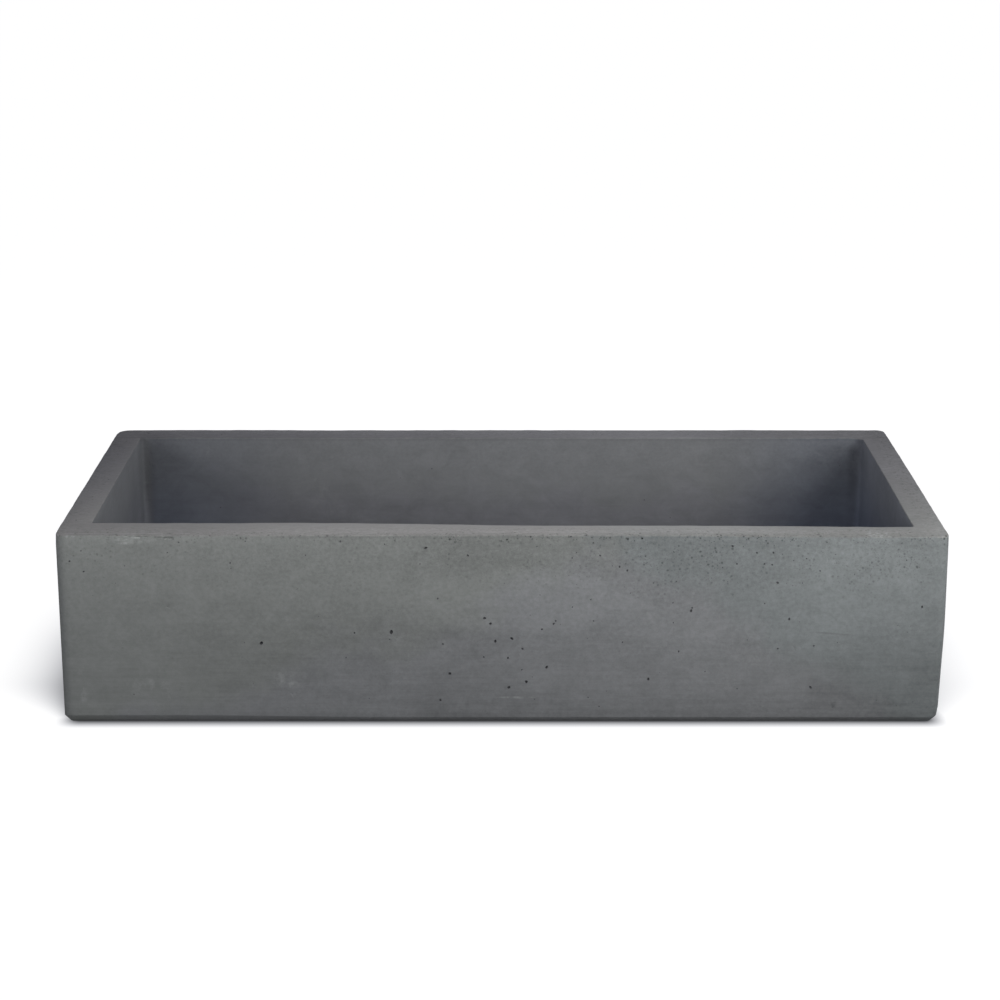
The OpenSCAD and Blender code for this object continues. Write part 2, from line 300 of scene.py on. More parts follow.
def cast_block():
    """The bare form: a drafted block with its bowl sunk in and its edges rounded."""
    bpy.ops.mesh.primitive_cube_add(size=1, location=(0, 0, RIM_H / 2))
    trough = bpy.context.active_object
    trough.name = "concrete_trough"
    trough.scale = (RIM_W, RIM_D, RIM_H)
    apply_place(trough)
    edit(trough)
    select("faces", lambda f: f.normal.z < -0.9)
    bpy.ops.transform.resize(value=(1 - 2 * OUTER_DRAFT / RIM_W, 1 - 2 * OUTER_DRAFT / RIM_D, 1),
                             center_override=(0, 0, 0))
    select("faces", lambda f: f.normal.z > 0.9)
    bpy.ops.mesh.inset(thickness=END_WALL)
    opening_w = RIM_W - 2 * END_WALL
    opening_d = RIM_D - 2 * LONG_WALL
    bpy.ops.transform.resize(value=(1, opening_d / (RIM_D - 2 * END_WALL), 1),
                             center_override=(0, 0, 0))
    bpy.ops.mesh.extrude_region_move(
        TRANSFORM_OT_translate={"value": (0, 0, WALL_FOOT_Z - RIM_H)})
    bpy.ops.transform.resize(
        value=(1 - 2 * INNER_DRAFT / opening_w, 1 - 2 * INNER_DRAFT / opening_d, 1),
        center_override=(0, 0, 0))

    def is_outer(e):
        return all(abs(v.co.x) > RIM_W / 2 - 2 * OUTER_DRAFT
                   and abs(v.co.y) > RIM_D / 2 - 2 * OUTER_DRAFT for v in e.verts)

    select("edges", lambda e: runs_along(e, UP) and is_outer(e))
    bevel(CORNER_R, 6)
    select("edges", lambda e: (runs_along(e, UP) and abs(middle(e).x) < RIM_W / 2 - END_WALL / 2
                               and abs(middle(e).y) < RIM_D / 2 - LONG_WALL / 2)
           or lies_between(e, WALL_FOOT_Z - MM, WALL_FOOT_Z + MM))
    bevel(BOWL_R, 6)
    select("edges", lambda e: lies_between(e, -MM, MM))
    bevel(BASE_CHAMFER, 1)
    select("edges", lambda e: lies_between(e, -MM, MM)
           or lies_between(e, BASE_CHAMFER - MM, BASE_CHAMFER + MM))
    bevel(BASE_ARRIS_R, 2)
    select("edges", lambda e: lies_between(e, RIM_H - MM, RIM_H + MM)
           and any(f.normal.z < 0.5 for f in e.link_faces))
    bevel(ARRIS_R, 3)
    done()
    return trough


RINGS = ((ALONG, 0.3, 222, 80), (ACROSS, 0.2, 44, 24), (UP, 0.08, 19, 8))


def split_long_edges(trough):
    """Divides every long edge, which lays rings round the whole casting."""
    for axis, least, cuts, quick_cuts in RINGS:
        edit(trough)
        select("edges", lambda e: runs_along(e, axis, least))
        bpy.ops.mesh.subdivide(number_cuts=cuts if DETAIL else quick_cuts, smoothness=0)
        done()


def fade(value, low, high):
    """0 below low, 1 above high and an even curve between."""
    t = min(1.0, max(0.0, (value - low) / (high - low)))
    return t * t * (3 - 2 * t)


# How far this casting strays from its drawing
FRONT_WALL_EXTRA = 8.3 * MM
FRONT_WALL_TAPER = 9.8 * MM
TIGHT_CORNER_R = 4 * MM
REAR_LEFT_R = 19 * MM
REAR_RIGHT_R = 15 * MM
LEFT_FOOT_OUT = 1.1 * MM
REAR_LEFT_IN = 1.9 * MM
REAR_RIGHT_IN = 3.4 * MM
RIGHT_END_UPRIGHT = 0.8
RIGHT_FOOT_IN = 1.1 * MM
RIGHT_FRONT_SAG = 1.7 * MM
RIGHT_CORNER_WEAR = 2 * MM
CHAMFER_LEFT_RISE = 1.9 * MM
HOLLOWS = 0.7 * MM
ARRIS_WEAR = 0.8 * MM


def tighten_corner(v, share):
    """Slides the points of an inner corner along to a smaller rounding, by a share."""
    draft = INNER_DRAFT * (RIM_H - v.co.z) / (RIM_H - WALL_FOOT_Z)
    centre = Vector((RIM_W / 2 - END_WALL - draft - BOWL_R,
                     RIM_D / 2 - LONG_WALL - draft - BOWL_R))
    out = Vector((abs(v.co.x), abs(v.co.y))) - centre
    if share > 0 and min(out) > -0.01 * MM:
        slide = BOWL_R - TIGHT_CORNER_R
        tight = Vector((slide, slide)) + out.normalized() * (out.length - slide)
        place = centre + out.lerp(tight, share)
        v.co.x = math.copysign(place.x, v.co.x)
        v.co.y = math.copysign(place.y, v.co.y)


def widen_rear_corner(v, radius):
    """Draws the points of a rear outer corner in to a larger rounding."""
    drop = max(0.0, ARRIS_R - (RIM_H - v.co.z))
    inset = OUTER_DRAFT * (1 - v.co.z / RIM_H) + max(0.0, BASE_CHAMFER - v.co.z) \
        + ARRIS_R - math.sqrt(ARRIS_R ** 2 - min(drop, ARRIS_R) ** 2)
    centre = Vector((RIM_W / 2 - radius, RIM_D / 2 - radius))
    out = Vector((abs(v.co.x), v.co.y)) - centre
    if min(out) > 0 and out.length > radius - inset:
        place = centre + out.normalized() * (radius - inset)
        v.co.x = math.copysign(place.x, v.co.x)
        v.co.y = place.y


def settle(trough):
    """Moves the points as the real casting moved: the floor falls to the drain, the front wall is
    thick at the left, the foot stands out at the left, the right end is upright above its middle
    with its foot drawn in, the rear is a little narrow with well rounded corners, the right front
    corner sags at the rim and is worn at the foot, and the front chamfer is tall at the left."""
    foot_x = RIM_W / 2 - END_WALL - INNER_DRAFT - BOWL_R
    foot_y = RIM_D / 2 - LONG_WALL - INNER_DRAFT - BOWL_R
    for v in trough.data.vertices:
        x, y, z = v.co
        in_bowl = z > WALL_FOOT_Z - MM and abs(x) < RIM_W / 2 - END_WALL + 1.2 * ARRIS_R \
            and abs(y) < RIM_D / 2 - LONG_WALL + 1.2 * ARRIS_R
        if abs(z - WALL_FOOT_Z) < 0.1 * MM and in_bowl:
            r = math.hypot(x, y)
            reach = min(foot_x * r / max(abs(x), 1e-6), foot_y * r / max(abs(y), 1e-6))
            rise = min(1.0, max(0.0, (r - LEVEL_R) / (reach - LEVEL_R)))
            v.co.z = DRAIN_FLOOR_Z + (WALL_FOOT_Z - DRAIN_FLOOR_Z) * rise
        height = z / RIM_H
        if in_bowl and (y < 0 or x < 0):
            tighten_corner(v, fade(z, 0.08, 0.15))
        if y > 0 and not in_bowl:
            widen_rear_corner(v, REAR_LEFT_R if x < 0 else REAR_RIGHT_R)
            x, y, z = v.co
        if in_bowl and y < 0:
            thick = FRONT_WALL_EXTRA - FRONT_WALL_TAPER * fade(x, -0.2, 0.05)
            near_front = fade(-y, foot_y * 0.7, foot_y + 0.5 * BOWL_R)
            v.co.y += thick * near_front
        to_rear = y / RIM_D + 0.5
        v.co.x -= REAR_RIGHT_IN * to_rear * fade(x, 0.2, RIM_W / 2)
        v.co.x -= LEFT_FOOT_OUT * (1 - height) * fade(-x, 0.425, 0.453)
        v.co.x += REAR_LEFT_IN * to_rear * fade(-x, 0.2, RIM_W / 2)
        worn = RIGHT_CORNER_WEAR * fade(-y, 0.2, 0.23) * (1 - fade(z, 0, 15 * MM))
        v.co.x -= worn * fade(x, 0.435, 0.452)
        upright = OUTER_DRAFT * (1 - height) * RIGHT_END_UPRIGHT * fade(z, 0.05, 0.12)
        v.co.x += (upright - RIGHT_FOOT_IN * (1 - fade(z, 0, 0.07))) * fade(x, 0.44, 0.452)
        rise = CHAMFER_LEFT_RISE * (1 - fade(x, -0.32, -0.09)) * fade(-y, 0.228, 0.236)
        v.co.z += rise * fade(z, 2 * MM, 5 * MM) * (1 - fade(z, 7 * MM, 14 * MM))
        v.co.z -= RIGHT_FRONT_SAG * height * fade(x, 0.1, RIM_W / 2) * fade(-y, -0.1, RIM_D / 2)


def add_weights(piece, name, weigh):
    group = piece.vertex_groups.new(name=name)
    for v in piece.data.vertices:
        weight = weigh(v.co)
        if weight > 0:
            group.add([v.index], weight, "REPLACE")


def push_in(piece, group, size, depth, strength, middle_level):
    """Displaces a group of points by an uneven pattern of clouds."""
    texture = bpy.data.textures.new(group, "CLOUDS")
    texture.noise_scale = size
    texture.noise_depth = depth
    apply_modifier(piece, "DISPLACE", texture=texture, strength=strength,
                   mid_level=middle_level, texture_coords="LOCAL", vertex_group=group)


def weather(trough):
    """Slight hollows over the faces and uneven wear along the rim's arrises, inwards only."""
    add_weights(trough, "faces", lambda co: 1 - 0.8 * fade(abs(co.x), 0.435, 0.45))
    push_in(trough, "faces", 0.16, 2, HOLLOWS, 1.0)

    def arris(co):
        drop = RIM_H - co.z
        return 1 - fade(drop, ARRIS_R, 3 * ARRIS_R) if drop < 3 * ARRIS_R else 0

    add_weights(trough, "arris", arris)
    push_in(trough, "arris", 0.022, 4, ARRIS_WEAR, 0.9)


def drain_cutter():
    """What the mould keeps free round the waste: recess, hole and the flange's rebate."""
    below, above, lead = -10 * MM, 90 * MM, 2 * MM
    return turned("drain_cutter", rounded([
        (0, below, 0), (RECESS_R + lead, below, 0), (RECESS_R + lead, 0, 0), (RECESS_R, lead, 0),
        (RECESS_R, RECESS_H, 1.5 * MM), (HOLE_R, RECESS_H, 0), (HOLE_R, REBATE_Z, 0),
        (REBATE_R, REBATE_Z, 0), (REBATE_R, above, 0), (0, above, 0)]))


# Pinholes of the front face: along the face, above the base and across, in millimetres
FRONT_PINHOLES = [
    (-442, 175, 2.2), (-428, 164, 2), (-342, 184, 1.6), (-278, 173, 2), (-248, 87, 4),
    (-114, 99, 4.2), (-152, 98, 2), (-116, 91, 1.6), (-84, 172, 1.6), (-78, 189, 3),
    (-66, 135, 2), (-64, 25, 2.4), (-54, 54, 3.4), (-35, 181, 2.4), (-18, 114, 3),
    (-12, 108, 3), (-7, 89, 3.2), (10, 92, 3.4), (21, 81, 2.4), (6, 71, 2.2), (53, 108, 2.4),
    (55, 111, 2), (46, 61, 3.2), (25, 45, 3.4), (7, 39, 3.4), (89, 28, 1.6), (151, 48, 3.2),
    (194, 122, 3), (195, 125, 2), (176, 109, 1.6), (182, 78, 2), (124, 88, 1.8), (282, 152, 2.8),
    (295, 113, 2.8), (284, 81, 2), (321, 84, 2.2), (319, 39, 3), (431, 126, 2.6), (70, 201, 2.6),
    (120, 169, 2.4), (128, 165, 2.2), (100, 181, 2.2), (235, 191, 2.4), (260, 184, 2.2),
    (277, 184, 2.2), (-61, 86, 2.2), (-19, 72, 2), (41, 102, 2.2), (72, 126, 1.6), (91, 134, 1.6),
    (94, 111, 1.8), (240, 172, 2), (268, 172, 2), (276, 171, 2), (-330, 195, 1.8), (-262, 196, 1.8),
    (-165, 196, 2), (-120, 193, 1.6), (-430, 186, 1.6), (-386, 170, 1.4)]


def face_y(z):
    """How far forward the front face stands at a height."""
    return FRONT + OUTER_DRAFT * (1 - z / RIM_H)


def pore_places():
    """Where air bubbles opened on the casting: (place, outward, diameter, length over width)."""
    dice = random.Random(11)
    places = [(Vector((x * MM, face_y(z * MM), z * MM)), Vector((0, -1, 0)), 0.95 * d * MM,
               1.1 + 0.5 * dice.random()) for x, z, d in FRONT_PINHOLES]
    end_margin = 22 * MM
    foot_margin = 14 * MM
    highest = RIM_H - 8 * MM

    def scatter(count, pick, outward, smallest, largest):
        for _ in range(count):
            size = smallest + (largest - smallest) * dice.random() ** 2.5
            places.append((Vector(pick()), Vector(outward), size * MM, 1 + 0.6 * dice.random()))

    def along(share=1.0):
        return (dice.random() * 2 - 1) * (RIM_W / 2 - end_margin) * share

    def across(share=1.0):
        return (dice.random() * 2 - 1) * (RIM_D / 2 - end_margin) * share

    def up(lowest):
        return lowest + (highest - lowest) * dice.random()

    def front_near_top():
        z = highest - 60 * MM * dice.random() ** 1.6
        return (0.02 + 0.41 * dice.random() ** 0.8, face_y(z), z)

    def long_face(side):
        z = up(foot_margin)
        return (along(), -side * face_y(z), z)

    def end(side):
        z = up(foot_margin)
        return (side * (RIM_W / 2 - OUTER_DRAFT * (1 - z / RIM_H)), across(), z)

    def bowl_rear():
        z = up(82 * MM)
        draft = INNER_DRAFT * (RIM_H - z) / (RIM_H - DRAIN_FLOOR_Z)
        return (along(0.94), RIM_D / 2 - LONG_WALL - draft, z)

    def rim_long(side):
        x = along()
        return (x, side * (RIM_D / 2 - LONG_WALL / 2 + 24 * MM * (dice.random() - 0.5)), RIM_H)

    def rim_end(side):
        x = side * (RIM_W / 2 - END_WALL / 2 + 16 * MM * (dice.random() - 0.5))
        return (x, across(0.9), RIM_H)

    scatter(70, front_near_top, (0, -1, 0), 0.8, 1.7)
    scatter(60, lambda: long_face(-1), (0, -1, 0), 0.8, 1.6)
    scatter(90, lambda: long_face(1), (0, 1, 0), 0.9, 4)
    for side in (-1, 1):
        scatter(45, lambda: end(side), (side, 0, 0), 0.9, 3.6)
        scatter(18, lambda: rim_long(side), (0, 0, 1), 0.8, 1.8)
        scatter(14, lambda: rim_end(side), (0, 0, 1), 0.8, 1.8)
    scatter(9, bowl_rear, (0, -1, 0), 0.8, 1.6)
    return places


def lumps(name, places, depth, sink, finish):
    """One mesh of uneven lumps on a surface, each (place, outward, size, length over width)."""
    dice = random.Random(5)
    bpy.ops.mesh.primitive_ico_sphere_add(subdivisions=2, radius=1)
    ball = bpy.context.active_object
    shape = [v.co.copy() for v in ball.data.vertices]
    faces = [tuple(p.vertices) for p in ball.data.polygons]
    bpy.data.objects.remove(ball)
    points, all_faces, taken = [], [], []
    for place, outward, size, slender in places:
        if any((place - other).length < (size + other_size) * 0.6 for other, other_size in taken):
            continue
        taken.append((place, size))
        radius = size / 2
        lie = outward.to_track_quat("Z", "Y")
        twist = math.pi * (dice.random() - 0.5) * (1 if slender < 1.8 else 0.1)
        turn = Matrix.Rotation(twist, 3, "Z")
        first = len(points)
        for co in shape:
            uneven = 1 + 0.3 * noise.noise(co * 1.7 + place * 900)
            level = Vector((co.x * slender ** 0.5, co.y / slender ** 0.5, 0))
            local = turn @ level * radius * uneven
            local.z = (co.z * uneven - sink) * depth * radius
            points.append(place + lie @ local)
        all_faces += [tuple(first + i for i in f) for f in faces]
    cutter = new_piece(name, points, [], all_faces)
    cutter.data.materials.append(finish)
    return cutter


def chip_places():
    """Where the arrises are chipped: the front one mostly near its left end, with a few small chips
    elsewhere, and the right end's inner one over its front half."""
    dice = random.Random(23)
    outward = Vector((0, -1, 1)).normalized()
    places = []
    for low, high, count, least, most in ((-0.405, -0.335, 13, 4, 9), (-0.33, 0.1, 16, 2, 5),
                                          (0.1, 0.44, 24, 1.6, 4)):
        for _ in range(count):
            x = low + (high - low) * dice.random()
            size = (least + (most - least) * dice.random() ** 2) * MM
            sag = RIGHT_FRONT_SAG * fade(x, 0.1, RIM_W / 2)
            drop = (1.2 + 3.4 * dice.random() * (x < -0.33)) * MM
            places.append((Vector((x, FRONT + 0.5 * MM, RIM_H - sag - drop)), outward, size,
                           1.9 + dice.random()))
    for _ in range(16):
        y = -0.18 + 0.23 * dice.random()
        x = RIM_W / 2 - END_WALL - REAR_RIGHT_IN * (y / RIM_D + 0.5)
        places.append((Vector((x, y, RIM_H - 1.6 * MM)), Vector((-1, 0, 1)).normalized(),
                       (3 + 4 * dice.random()) * MM, 1.3))
    return places


def make_trough(concrete, pore_painted_shade_finish):
    trough = cast_block()
    split_long_edges(trough)
    settle(trough)
    weather(trough)
    trough.data.materials.append(concrete)
    cut_away(trough, drain_cutter())
    cut_away(trough, lumps("chip_cutter", chip_places(), 0.34, -0.1, concrete))
    # The pinholes' insides get a dark finish, which paints shade in them
    trough.data.materials.append(pore_painted_shade_finish)
    cut_away(trough, lumps("pore_cutter", pore_places(), 0.9, 0.35, pore_painted_shade_finish))
    smooth(trough, 40)
    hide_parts("basin")
    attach(trough, "trough")


# ---------------------------------------------------------------- the waste

def finish_piece(piece, finish, node, body, angle=30):
    """Finish, shading and the calls that put a piece in its node's place."""
    piece.data.materials.append(finish)
    smooth(piece, angle)
    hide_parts(node)
    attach(piece, body)


def make_waste_body(chrome):
    """Flange, dish, seat and tube turned in one, with the cross bars and their hub."""
    core_r = THREAD_R - THREAD_DEPTH
    profile = rounded([
        (BORE_R, TAIL_Z, 0.3 * MM), (core_r, TAIL_Z, 0.3 * MM), (core_r, FLANGE_Z - 2 * MM, 0),
        (THREAD_R, FLANGE_Z - 2 * MM, 0), (THREAD_R, FLANGE_Z, 0), (FLANGE_R, FLANGE_Z, 0.4 * MM),
        (FLANGE_R, DRAIN_FLOOR_Z, 1.9 * MM), (DISH_R, DRAIN_FLOOR_Z, 0.5 * MM),
        (DISH_R, SEAT_Z, 0.4 * MM), (BORE_R, SEAT_Z, 1.6 * MM)], steps=5)
    waste = turned("waste_flange_and_tube", profile, steps=144)
    for bottom_z, top_z in ((TAIL_Z + 0.5 * MM, GROOVE_Z), (NUT_Z, FLANGE_Z - 3 * MM)):
        cut_away(waste, thread_ridge(bottom_z, top_z, core_r - 0.3 * MM, THREAD_R), "UNION")
    bar_top_z = BAR_Z + BAR_H
    hub = turned("hub", rounded([
        (HUB_BORE_R, BAR_Z, 0.3 * MM), (HUB_R, BAR_Z, 0.5 * MM), (HUB_R, bar_top_z, 0.5 * MM),
        (HUB_BORE_R, bar_top_z, 0.3 * MM)]), steps=96)
    reach = BORE_R + MM - (HUB_R - MM)
    for quarter in range(4):
        bpy.ops.mesh.primitive_cube_add(size=1, location=(HUB_R - MM + reach / 2, 0,
                                                          BAR_Z + BAR_H / 2))
        bar = bpy.context.active_object
        bar.scale = (reach, BAR_W, BAR_H)
        apply_place(bar)
        edit(bar)
        select("edges", lambda e: runs_along(e, ALONG))
        bevel(0.6 * MM, 3)
        done()
        bar.rotation_euler = (0, 0, quarter * math.pi / 2)
        apply_place(bar)
        cut_away(hub, bar, "UNION")
    cut_away(waste, hub, "UNION")
    finish_piece(waste, chrome, "waste_body", "trough")


def make_washers(rubber, nylon):
    bore = THREAD_R + 0.1 * MM
    nose_z = RECESS_H + CONE_NOSE_H
    gasket = turned("flange_gasket_ring", rounded([
        (bore, REBATE_Z, 0.2 * MM), (FLANGE_R - MM, REBATE_Z, 0.4 * MM),
        (FLANGE_R - MM, FLANGE_Z, 0.4 * MM), (bore, FLANGE_Z, 0.2 * MM)]))
    finish_piece(gasket, rubber, "flange_gasket", "trough")
    cone = turned("cone_washer_ring", rounded([
        (bore, CONE_Z, 0.3 * MM), (CONE_R, CONE_Z, 1 * MM), (CONE_R, RECESS_H, 0.4 * MM),
        (HOLE_R - 0.2 * MM, RECESS_H, 0), (THREAD_R + 0.5 * MM, nose_z, 0.2 * MM),
        (bore, nose_z, 0)]))
    finish_piece(cone, rubber, "cone_washer", "trough")
    slip = turned("slip_washer_ring", rounded([
        (bore, SLIP_Z, 0.2 * MM), (SLIP_R, SLIP_Z, 0.5 * MM), (SLIP_R, CONE_Z, 0.5 * MM),
        (bore, CONE_Z, 0.2 * MM)]))
    finish_piece(slip, nylon, "slip_washer", "trough")


def make_lock_nut(brass):
    """A hexagon nut: six flats, both faces turned back at the corners, bored through."""
    corner_r = NUT_AF / math.sqrt(3)
    top_z = NUT_Z + NUT_T
    bpy.ops.mesh.primitive_cylinder_add(vertices=6, radius=corner_r, depth=NUT_T,
                                        location=(0, 0, NUT_Z + NUT_T / 2))
    nut = bpy.context.active_object
    nut.name = "clamping_nut"
    apply_place(nut)
    face_r = corner_r - NUT_CORNER_CUT
    slope = 0.6 * NUT_CORNER_CUT
    cut_away(nut, turned("nut_blank", [
        (0, NUT_Z), (face_r, NUT_Z), (corner_r + MM, NUT_Z + slope), (corner_r + MM, top_z - slope),
        (face_r, top_z), (0, top_z)]), "INTERSECT")
    bore_r = THREAD_R + 0.08 * MM
    lead = 0.6 * MM
    cut_away(nut, turned("nut_bore", [
        (0, NUT_Z - MM), (bore_r + lead, NUT_Z - MM), (bore_r + lead, NUT_Z),
        (bore_r, NUT_Z + lead), (bore_r, top_z - lead), (bore_r + lead, top_z),
        (bore_r + lead, top_z + MM), (0, top_z + MM)]))
    apply_modifier(nut, "BEVEL", width=0.25 * MM, segments=2, limit_method="ANGLE",
                   angle_limit=math.radians(25))
    finish_piece(nut, brass, "lock_nut", "trough")


def make_spring(steel):
    """A round wire wound with the CAD spring's turns."""
    bpy.ops.mesh.primitive_circle_add(vertices=12, radius=WIRE_D / 2, rotation=(math.pi / 2, 0, 0),
                                      location=(SPRING_R, 0, SPRING_Z + WIRE_D / 2))
    spring = bpy.context.active_object
    spring.name = "latch_spring_wire"
    apply_place(spring)
    wind(spring, SPRING_TURNS, SPRING_L - WIRE_D, 48 * SPRING_TURNS)
    finish_piece(spring, steel, "latch_spring", "trough", angle=60)
    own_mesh(spring)


def make_plug(chrome, rubber):
    """The plug's domed cap and the seal stretched over its boss."""
    cap_z = SEAL_Z + SEAL_T
    edge_z = cap_z + CAP_EDGE_T
    dome_r = (CAP_R ** 2 + CAP_DOME ** 2) / (2 * CAP_DOME)
    half_angle = math.degrees(math.asin(CAP_R / dome_r))
    dome = arc(0, edge_z + CAP_DOME - dome_r, dome_r, 90 - half_angle, 90, 20)
    lip_z = SEAL_Z - 0.05 * MM - LIP_T
    lip_r = SEAL_BOSS_R + LIP_W
    stud_bore_r = STUD_R + 0.08 * MM
    lower = rounded([
        (0, BOSS_Z + 8 * MM, 0), (stud_bore_r, BOSS_Z + 8 * MM, 0), (stud_bore_r, BOSS_Z, 0.3 * MM),
        (BOSS_R, BOSS_Z, 0.5 * MM), (BOSS_R, lip_z, 0.6 * MM), (lip_r, lip_z, 0.5 * MM),
        (lip_r, lip_z + LIP_T, 0.3 * MM), (SEAL_BOSS_R, lip_z + LIP_T, 0.1 * MM),
        (SEAL_BOSS_R, cap_z, 0.1 * MM), (CAP_R, cap_z, 0.5 * MM)])
    shoulder = rounded([(CAP_R, cap_z + MM, 0), (CAP_R, edge_z, 0.7 * MM), dome[3] + (0,)])[1:-1]
    cap = turned("plug_domed_cap", lower + shoulder + dome[3:], steps=144)
    finish_piece(cap, chrome, "plug_cap", "plug")
    seal = turned("plug_seal_ring", rounded([
        (SEAL_BOSS_R + 0.1 * MM, SEAL_Z, 0.2 * MM), (SEAL_R, SEAL_Z, 0.7 * MM),
        (SEAL_R, cap_z, 0.5 * MM), (SEAL_BOSS_R + 0.1 * MM, cap_z, 0.2 * MM)], steps=4), steps=144)
    finish_piece(seal, rubber, "plug_seal", "plug")


# ---------------------------------------------------------------- finishes

class Value:
    """A shader socket that takes part in arithmetic: each operator adds a Math node."""

    def __init__(self, finish, socket):
        self.finish = finish
        self.socket = socket

    def _math(self, operation, *terms):
        return self.finish.node("Math", {"operation": operation}, *terms)

    def __add__(self, other):
        return self._math("ADD", self, other)

    def __sub__(self, other):
        return self._math("SUBTRACT", self, other)

    def __rsub__(self, other):
        return self._math("SUBTRACT", other, self)

    def __mul__(self, other):
        return self._math("MULTIPLY", self, other)

    def __neg__(self):
        return self._math("MULTIPLY", self, -1.0)

    def __abs__(self):
        return self._math("ABSOLUTE", self)

    def __pow__(self, power):
        return self._math("POWER", self, power)

    def __truediv__(self, other):
        return self._math("DIVIDE", self, other)

    __radd__ = __add__
    __rmul__ = __mul__


class Finish:
    """A material, or the world, being put together on Object coordinates."""

    def __init__(self, name, world=None):
        self.material = world or bpy.data.materials.new(name)
        self.material.use_nodes = True
        self.tree = self.material.node_tree
        self.tree.nodes.clear()
        self.place = self.node("TexCoord", {}, output="Object")
        axes = self.node("SeparateXYZ", {}, self.place)
        self.x = axes
        self.y = Value(self, axes.socket.node.outputs["Y"])
        self.z = Value(self, axes.socket.node.outputs["Z"])

    def put(self, socket, value):
        """Links a value to a socket, or sets a number or a colour on it."""
        if isinstance(value, Value):
            self.tree.links.new(value.socket, socket)
        elif socket.type == "RGBA" and len(value) == 3:
            socket.default_value = (*value, 1)
        else:
            socket.default_value = value

    def node(self, kind, settings, *values, output=0, **named):
        """Adds a node: its settings first, then its sockets in order or by name."""
        made = self.tree.nodes.new("ShaderNode" + kind)
        for key, value in settings.items():
            setattr(made, key, value)
        for i, value in enumerate(values):
            self.put(made.inputs[i], value)
        for key, value in named.items():
            self.put(made.inputs[key.replace("_", " ")], value)
        return Value(self, made.outputs[output]) if len(made.outputs) else made

    def noise(self, scale, detail, roughness, distortion=0.0):
        """A cloudy pattern, drawn out into streaks where scale is (along, across, up)."""
        where = self.place
        if isinstance(scale, tuple):
            where = self.node("Mapping", {}, Vector=where, Scale=scale)
            scale = 1
        return self.node("TexNoise", {}, Vector=where, Scale=scale, Detail=detail,
                         Roughness=roughness, Distortion=distortion)

    def specks(self, scale):
        """Distance to the nearest of many scattered points, in cells."""
        return self.node("TexVoronoi", {}, Vector=self.place, Scale=scale)

    def ease(self, value, low, high, start=0.0, end=1.0):
        """start below low, end above high and an even curve between."""
        return self.node("MapRange", {"interpolation_type": "SMOOTHSTEP"}, value, low, high,
                         start, end)

    def between(self, value, low, high, soft):
        """1 from low to high and 0 outside, easing over a soft distance at both sides."""
        rise = self.ease(value, low - soft / 2, low + soft / 2)
        return rise - self.ease(value, high - soft / 2, high + soft / 2)

    def blend(self, share, first, second):
        made = self.tree.nodes.new("ShaderNodeMix")
        made.data_type = "RGBA"
        for i, value in ((0, share), (6, first), (7, second)):
            self.put(made.inputs[i], value)
        return Value(self, made.outputs[2])

    def larger(self, first, second):
        return self.node("Math", {"operation": "MAXIMUM"}, first, second)

    def tone(self, colour, level):
        """A colour made lighter or darker by a level, 1 leaving it as it is."""
        return self.node("VectorMath", {"operation": "SCALE"}, colour, Scale=level)

    def bump(self, height, distance, strength):
        return self.node("Bump", {}, Height=height, Distance=distance, Strength=strength)

    def shade(self, **sockets):
        """Closes the material with a Principled shader and returns it."""
        shader = self.node("BsdfPrincipled", {}, **sockets)
        self.node("OutputMaterial", {}, shader)
        return self.material


# Tones of the concrete
OLIVE = (0.200, 0.209, 0.196)
VIOLET = (0.202, 0.208, 0.206)
TEAL = (0.194, 0.209, 0.204)
RIM_FRONT = (0.238, 0.235, 0.221)
RIM_RIGHT = (0.235, 0.2375, 0.2235)
RIM_REAR = (0.236, 0.235, 0.229)
# Painted shade: the bowl is a little bluer below than at the top, and much darker and bluer low in
# its ends
BOWL_TOP = (0.180, 0.185, 0.1845)
BOWL_TONE = (0.181, 0.184, 0.190)
BOWL_PAINTED_SHADE = (0.134, 0.151, 0.186)
DUST = (0.33, 0.345, 0.325)

# Pale smudges on the front face and bruises along its arris, in millimetres: along, up, half
# width and half height
FRONT_SMUDGES = ((-222, 47, 18, 12), (-364, 39, 26, 13), (-433, 30, 5, 13), (15, 28, 26, 1.6),
                 (-378, 198, 30, 7))
ARRIS_BRUISES = ((-444, 201, 15, 1.4), (-392, 198.4, 14, 2.2), (-370, 200, 14, 1.8),
                 (-384, 194, 10, 1.6), (385, 201, 16, 1.6))


def spot(f, x, z, half_w, half_h):
    """1 in the middle of an oval on the front face and 0 outside it."""
    along = (f.x - x) / half_w
    up = (f.z - z) / half_h
    on_front = f.ease(-f.y, 0.21, 0.23)
    return (1 - f.ease(along * along + up * up, 0.1, 1)) * on_front


def spots(f, ovals):
    return sum(spot(f, *(value * MM for value in oval)) for oval in ovals)


